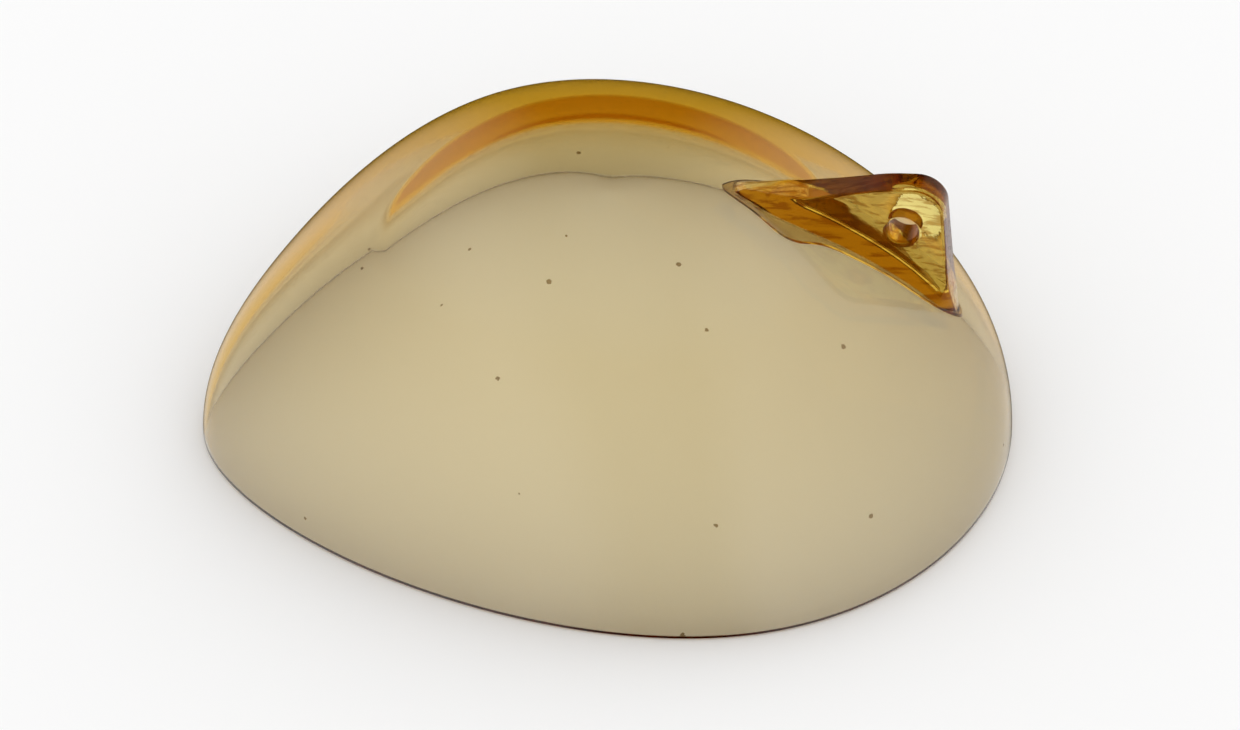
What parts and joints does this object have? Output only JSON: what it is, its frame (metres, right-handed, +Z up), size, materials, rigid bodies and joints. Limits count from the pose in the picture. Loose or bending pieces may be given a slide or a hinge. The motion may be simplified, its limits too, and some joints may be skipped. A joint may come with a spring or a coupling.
{
  "type": "surgical eye shield",
  "caption": "Clear amber oval dome that covers the eye during surgery, with a small bored fin on its outside to hold it by.",
  "frame": {"origin": "middle of the oval rim, in the plane that the rim rests on", "axes": "+X along the rim's long side, towards the fin; +Z up through the crown; the eye side faces -Z"},
  "size_m": [0.0259, 0.0229, 0.0099],
  "materials": {
    "amber_plastic": "clear amber acrylic, polished",
    "amber_plastic_tab": "clear amber acrylic, polished, deeper amber where it is thick",
    "clear_cement": "cured clear solvent cement, glossy"
  },
  "bodies": {
    "root": {"shell": "amber_plastic", "handle_tab": "amber_plastic_tab", "bond_bead": "clear_cement"}
  },
  "joints": []
}
